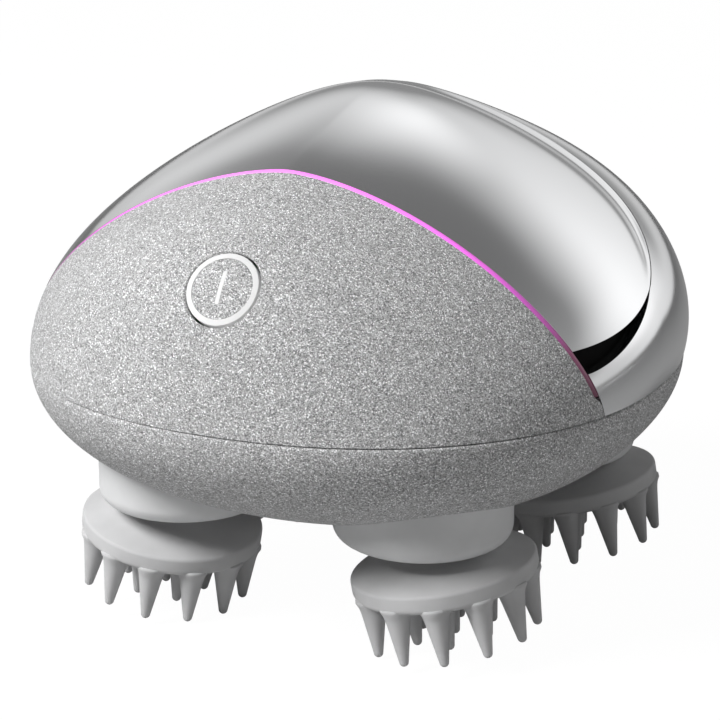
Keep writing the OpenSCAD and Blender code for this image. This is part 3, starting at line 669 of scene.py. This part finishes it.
def apply_modifiers(ob):
    bpy.context.view_layer.objects.active = ob
    deps = bpy.context.evaluated_depsgraph_get()
    mesh = bpy.data.meshes.new_from_object(ob.evaluated_get(deps))
    old = ob.data
    ob.modifiers.clear()
    ob.data = mesh
    bpy.data.meshes.remove(old)


def button_frame():
    """Frame at the button: origin on the panel's middle line, +Z straight out."""
    y = waist(BUTTON_Z) - front_len(BUTTON_Z)
    above = waist(BUTTON_Z + 1) - front_len(BUTTON_Z + 1)
    below = waist(BUTTON_Z - 1) - front_len(BUTTON_Z - 1)
    slope = (above - below) / 2
    tilt = math.atan(slope)
    return Matrix.Translation((0, y, BUTTON_Z)) @ Matrix.Rotation(math.pi / 2 - tilt, 4, "X")


BUTTON = button_frame()


def on_panel(x, y):
    """The panel's outer surface at (x, y) of the button's frame, as a point of that frame."""
    lo, hi = -6.0, 4.0
    for _ in range(40):
        m = (lo + hi) / 2
        p = BUTTON @ Vector((x, y, m))
        inside = 0 < p.z < DOME_H and abs(p.x) < width_or_zero(p.z, p.y)
        if inside:
            lo = m
        else:
            hi = m
    return Vector((x, y, lo))


def width_or_zero(z, y):
    back = y > waist(z)
    q = abs(y - waist(z)) / end_len(z, back)
    if q >= 1:
        return 0.0
    return side_len(z) * (1 - q ** roundness(z, back)) ** (1 / roundness(z, back))


def build_disc_patch(name, inner, outer, depth, proud, rings=6, steps=72):
    """A ring or disc that follows the panel's curve, with a skirt down to depth."""
    verts, faces = [], []
    radii = [mix(inner, outer, k / rings) for k in range(rings + 1)]
    for r in radii:
        for k in range(steps):
            a = 2 * math.pi * k / steps
            p = on_panel(r * math.cos(a), r * math.sin(a))
            p.z += proud
            verts.append(lift(BUTTON @ p))
    count = len(radii)
    for r in (outer, max(inner, 0.001)):
        for k in range(steps):
            a = 2 * math.pi * k / steps
            p = on_panel(r * math.cos(a), r * math.sin(a))
            p.z -= depth
            verts.append(lift(BUTTON @ p))
    for i in range(count - 1):
        for k in range(steps):
            q = (k + 1) % steps
            faces.append((i * steps + k, i * steps + q, (i + 1) * steps + q, (i + 1) * steps + k))
    for k in range(steps):
        q = (k + 1) % steps
        faces.append(((count - 1) * steps + k, (count - 1) * steps + q, count * steps + q, count * steps + k))
        faces.append((count * steps + k, count * steps + q, (count + 1) * steps + q, (count + 1) * steps + k))
        faces.append(((count + 1) * steps + k, (count + 1) * steps + q, q, k))
    ob = make_object(name, verts, faces)
    crisp(ob, 0.00012, 2, 50)
    return ob


def build_bar():
    """The rounded white bar on the button's face, following its curve."""
    half, r, rows = BAR_L / 2, BAR_W / 2, 32
    verts, faces = [], []
    for dz in (0.06, -0.5):
        for k in range(rows + 1):
            y = -half * math.cos(math.pi * k / rows)
            over = max(0.0, abs(y) - (half - r))
            x = max(0.02, math.sqrt(max(0.0, r * r - over * over)))
            for q in (-x, 0.0, x):
                p = on_panel(q, y)
                p.z += dz
                verts.append(lift(BUTTON @ p))
    low = 3 * (rows + 1)
    for k in range(rows):
        for c in (0, 1):
            i = 3 * k + c
            faces.append((i, i + 1, i + 4, i + 3))
            faces.append((low + i, low + i + 3, low + i + 4, low + i + 1))
        for c in (0, 2):
            i = 3 * k + c
            faces.append((i, i + 3, low + i + 3, low + i))
    for k in (0, 3 * rows):
        for c in (0, 1):
            faces.append((k + c, k + c + 1, low + k + c + 1, low + k + c))
    return make_object("button_bar_mark", verts, faces, False)


panel = build_front_panel()
apply_modifiers(panel)
drill(panel, lathe("hole_cut", [(HOLE_R, -14), (HOLE_R, 10), (0, 10), (0, -14)], 128, BUTTON))
dress(panel, "glitter_silver", "housing", "front_panel")
dress(build_dome(), "mirror_chrome", "housing", "dome_cover")
dress(build_band(), "mirror_chrome", "housing", "rear_band")
dress(build_light_guide(), "light_line", "housing", "light_guide")
dress(build_pan(), "glitter_silver", "housing", "lower_pan")

CAP_R, SKIRT = HOLE_R - BUTTON_GAP, 3.0
cap = build_disc_patch("button_cap", 0.001, CAP_R - RING_W, SKIRT, 0.0, 10)
dress(cap, "glitter_silver", "button", "power_button")
ring = build_disc_patch("button_ring_mark", CAP_R - RING_W + 0.02, CAP_R, SKIRT, 0.03)
dress(ring, "white_plastic", "button", "button_ring")
dress(build_bar(), "white_plastic", "button", "button_bar")


# ---------------------------------------------------------------- kneading heads
def arc(cx, cz, r, a0, a1, n):
    return [(cx + r * math.cos(math.radians(mix(a0, a1, k / n))),
             cz + r * math.sin(math.radians(mix(a0, a1, k / n)))) for k in range(n + 1)]


def build_cup(key, hx, hy):
    """A cup that is open below, with a thick web above that the crank's shaft runs through."""
    in_r, web_low = CUP_R - CUP_WALL, CUP_TOP - WEB_T
    profile = [(BORE_R, web_low), (in_r - WEB_FILLET, web_low)]
    profile += arc(in_r - WEB_FILLET, web_low - WEB_FILLET, WEB_FILLET, 90, 0, 6)[1:]
    profile += [(in_r, -CUP_LOW + 1.2)] + arc(in_r - 0.45, -CUP_LOW + 0.75, 0.6, 0, -80, 5)
    profile += arc(CUP_R - CUP_EDGE_R, -CUP_LOW + CUP_EDGE_R, CUP_EDGE_R, -90, 0, 12)
    profile += [(CUP_R, -14), (CUP_R, CUP_TOP), (BORE_R, CUP_TOP)]
    ob = lathe("cup_" + key, profile, 128, Matrix.Translation((hx, hy, 0)))
    crisp(ob, 0.0002, 2, 50)
    return ob


def pad_profile():
    """The pad without its fingers: disc, rim, flare and neck, about the leaning axis."""
    pts = [(0.001, -DISC_LOW), (6, -DISC_LOW), (DISC_R - 1.4, -DISC_LOW)]
    pts += arc(DISC_R - 1.0, -DISC_LOW + 1.0, 1.0, -90, 0, 6)
    pts += [(DISC_R, -DISC_LOW + RIM_H / 2)]
    pts += arc(DISC_R - 0.7, -DISC_LOW + RIM_H - 0.75, 0.7, 0, 75, 6)
    for k in range(15, -1, -1):
        u = (k / 16) ** 2
        pts.append((mix(NECK_R - NECK_SLIM, DISC_R - 0.4, u),
                    -NECK_LOW + FLARE_UP * (1 - u) - FLARE_L * u ** 0.6))
    pts += [(NECK_R - 0.4, -NECK_LOW + 3), (NECK_R, -NECK_LOW + 4), (NECK_R, -8.2)]
    pts += arc(NECK_R - 0.8, -8.0, 0.8, 0, 90, 4)
    pts += [(0.001, -7.2)]
    return pts


def finger_profile():
    """A cone that spreads into the disc at its root and ends in a small dome."""
    foot = FINGER_ROOT + ROOT_EXTRA + ROOT_SPREAD
    pts = [(0.001, 0.6), (foot, 0.6), (foot, 0.1)]
    for k in range(1, 13):
        s = CONE_L * k / 12
        r = mix(FINGER_ROOT + ROOT_EXTRA, FINGER_TIP, s / CONE_L) + ROOT_SPREAD * math.exp(-s / 0.55)
        pts.append((r, -s))
    pts += [(FINGER_TIP * math.cos(math.radians(a)), -CONE_L - FINGER_TIP * math.sin(math.radians(a)))
            for a in (20, 40, 60, 78)]
    pts.append((0.001, -CONE_L - FINGER_TIP))
    return pts


def build_pad(key, hx, hy, side):
    """A kneading pad on its leaning axis: two rings of fingers and one in the middle."""
    lean = (Matrix.Translation((hx, hy, PIVOT_Z)) @ Matrix.Rotation(LEAN_TURN * side, 4, "Z")
            @ Matrix.Rotation(-LEAN * side, 4, "Y"))
    obs = [lathe("pad_" + key, pad_profile(), 112, lean, closed=False)]
    spots = [(k * 360 / OUTER_FINGERS, FINGER_RING, SPLAY) for k in range(OUTER_FINGERS)]
    spots += [(k * 360 / INNER_FINGERS + 30, INNER_RING, 0.0) for k in range(INNER_FINGERS)]
    spots.append((0, 0, 0.0))
    for i, (a, r, tilt) in enumerate(spots):
        m = (lean @ Matrix.Rotation(math.radians(a), 4, "Z") @ Matrix.Translation((r, 0, -DISC_LOW))
             @ Matrix.Rotation(-tilt, 4, "Y"))
        obs.append(lathe("finger_%s_%d" % (key, i), finger_profile(), 24, m, closed=False))
    return join_into("pad_" + key, obs)


for key, hx, hy, side in HEADS:
    dress(build_cup(key, hx, hy), "satin_grey", "housing", "head_cup_" + key)
    dress(build_pad(key, hx, hy, side), "pad_silicone", "head_" + key, "head_pad_" + key)


# ---------------------------------------------------------------- light
LAMP_AIM = Vector((0, 0, 0.05))


def area(name, az, el, dist, size, power, in_mirrors=True):
    """A round lamp at azimuth az (0 is -Y, 90 is +X) and elevation el, aimed at the housing."""
    a, e = math.radians(az), math.radians(el)
    away = Vector((math.sin(a) * math.cos(e), -math.cos(a) * math.cos(e), math.sin(e)))
    pos = LAMP_AIM + away * dist
    data = bpy.data.lights.new(name, "AREA")
    data.shape = "DISK"
    data.size = size
    data.energy = power
    ob = bpy.data.objects.new(name, data)
    bpy.context.scene.collection.objects.link(ob)
    ob.location = pos
    ob.rotation_euler = (LAMP_AIM - pos).to_track_quat("-Z", "Y").to_euler()
    ob.visible_glossy = in_mirrors


area("key", -36, 42, 1.1, 0.5, 13.8, in_mirrors=False)
area("fill", 25, 12, 1.4, 0.8, 0.5)
area("rim", 120, 5, 1.2, 0.5, 2.0, in_mirrors=False)


def build_world():
    """Diffuse light is a low even grey; mirrors see a studio: dark above, soft boxes behind."""
    world = bpy.data.worlds.new("studio")
    bpy.context.scene.world = world
    world.use_nodes = True
    tree = world.node_tree
    nodes, links = tree.nodes, tree.links
    nodes.clear()
    out = nodes.new("ShaderNodeOutputWorld")
    tex = nodes.new("ShaderNodeTexCoord")
    sep = nodes.new("ShaderNodeSeparateXYZ")
    links.new(tex.outputs["Generated"], sep.inputs[0])

    def math_node(op, a, b=None):
        node = nodes.new("ShaderNodeMath")
        node.operation = op
        for i, v in enumerate((a, b)):
            if v is None:
                continue
            if isinstance(v, (int, float)):
                node.inputs[i].default_value = v
            else:
                links.new(v, node.inputs[i])
        return node.outputs[0]

    def step(value, lo, hi, out_lo=0.0, out_hi=1.0):
        node = nodes.new("ShaderNodeMapRange")
        node.interpolation_type = "SMOOTHSTEP"
        node.inputs["From Min"].default_value = lo
        node.inputs["From Max"].default_value = hi
        node.inputs["To Min"].default_value = out_lo
        node.inputs["To Max"].default_value = out_hi
        links.new(value, node.inputs["Value"])
        return node.outputs[0]

    def mul(a, b):
        return math_node("MULTIPLY", a, b)

    def add(a, b):
        return math_node("ADD", a, b)

    def sub(a, b):
        return math_node("SUBTRACT", a, b)

    def bump(value, middle, reach):
        """1 at the middle, 0 from reach away on."""
        return mul(step(value, middle - reach, middle), step(value, middle, middle + reach, 1.0, 0.0))

    def span(value, lo, full, fall, hi):
        """0 below lo and over hi, 1 between full and fall."""
        return mul(step(value, lo, full), step(value, fall, hi, 1.0, 0.0))

    # the direction looked at, in degrees: elevation, and azimuth from -Y over +X
    deg = 180 / math.pi
    el = mul(math_node("ARCSINE", sep.outputs[2]), deg)
    turn = mul(math_node("ARCTAN2", sep.outputs[0], mul(sep.outputs[1], -1)), deg)
    az = math_node("MODULO", add(turn, 360), 360)
    # main soft box behind and to the right: bright at its right end, fading to the left
    right_end = step(sub(az, step(el, 19.6, 41.3, 0.0, 19.6)), 90, 150)
    glow = step(az, 130, 194, 1.2, 0.67)
    # its upper edge climbs to the left; its left end leans over toward the top
    top_edge = step(az, 134.6, 211.8, 45.0, 50.9)
    top_fade = step(sub(el, top_edge), -11.4, 11.4, 1.0, 0.0)
    left_end = add(step(el, 9.7, 19, 169.6, 191.0), step(el, 24, 43.2, 0.0, 11.9))
    left_fade = step(sub(az, left_end), -14, 14, 1.0, 0.0)
    box_a = mul(mul(right_end, glow), mul(left_fade, top_fade))
    # a hot spot where the box bends over the crown
    spot = mul(mul(bump(az, 193, 23.9), bump(el, 44.4, 6.9)), 0.6)
    # narrow box farther left that leans over to the main one at the top
    strip = bump(add(az, step(el, 5, 43.7, 0.0, 16.0)), 223.3, 15.6)
    box_b = mul(mul(strip, step(el, 37.3, 47.4, 1.0, 0.0)), 0.7)
    # two more boxes that only the other sides of the housing reflect
    side_top = step(el, 34, 46, 1.0, 0.0)
    box_c = mul(span(az, 18, 40, 62, 88), mul(side_top, 0.62))
    box_d = mul(span(az, 270, 300, 330, 352), mul(side_top, 0.78))
    boxes = add(add(box_a, spot), add(box_b, add(box_c, box_d)))
    upper = math_node("MAXIMUM", boxes, step(el, 25, 55, 0.27, 0.166))
    # below the horizon: the pale floor, a little brighter under the main box
    floor_glow = add(mul(bump(az, 150, 29.5), 0.236), 0.6)
    sky = step(el, 3.4, 8.8)
    glossy = add(mul(upper, sky), mul(floor_glow, sub(1.0, sky)))

    def background(strength):
        node = nodes.new("ShaderNodeBackground")
        node.inputs["Color"].default_value = (1, 1, 1, 1)
        if isinstance(strength, float):
            node.inputs["Strength"].default_value = strength
        else:
            links.new(strength, node.inputs["Strength"])
        return node.outputs[0]

    def choose(ray, otherwise, then):
        node = nodes.new("ShaderNodeMixShader")
        links.new(path.outputs[ray], node.inputs[0])
        links.new(otherwise, node.inputs[1])
        links.new(then, node.inputs[2])
        return node.outputs[0]

    path = nodes.new("ShaderNodeLightPath")
    lit = choose("Is Glossy Ray", background(0.06), background(glossy))
    links.new(choose("Is Camera Ray", lit, background(1.0)), out.inputs["Surface"])


build_world()


FLOOR_HALF, FLOOR_Z, FLOOR_GLOW, GLOW_SHARE = 3, -0.0002, 1.09, 0.9


def build_floor():
    """Pale studio floor: white to the camera with the object's shadow kept faint."""
    verts = [(x * FLOOR_HALF, y * FLOOR_HALF, FLOOR_Z) for x, y in ((-1, -1), (1, -1), (1, 1), (-1, 1))]
    ob = make_object("studio_floor", verts, [(0, 1, 2, 3)], False)
    mat, tree, nodes, bsdf = new_material("floor_white")
    bsdf.inputs["Base Color"].default_value = (0.45, 0.45, 0.45, 1)
    bsdf.inputs["Roughness"].default_value = 0.9
    emit = nodes.new("ShaderNodeEmission")
    emit.inputs["Color"].default_value = (1, 1, 1, 1)
    path = nodes.new("ShaderNodeLightPath")
    seen = nodes.new("ShaderNodeMath")
    seen.operation = "MULTIPLY"
    seen.inputs[1].default_value = GLOW_SHARE
    tree.links.new(path.outputs["Is Camera Ray"], seen.inputs[0])
    emit.inputs["Strength"].default_value = FLOOR_GLOW
    mixer = nodes.new("ShaderNodeMixShader")
    tree.links.new(seen.outputs[0], mixer.inputs[0])
    tree.links.new(bsdf.outputs[0], mixer.inputs[1])
    tree.links.new(emit.outputs[0], mixer.inputs[2])
    tree.links.new(mixer.outputs[0], nodes["Material Output"].inputs["Surface"])
    ob.data.materials.append(mat)


build_floor()
bpy.context.scene.view_settings.view_transform = "Standard"
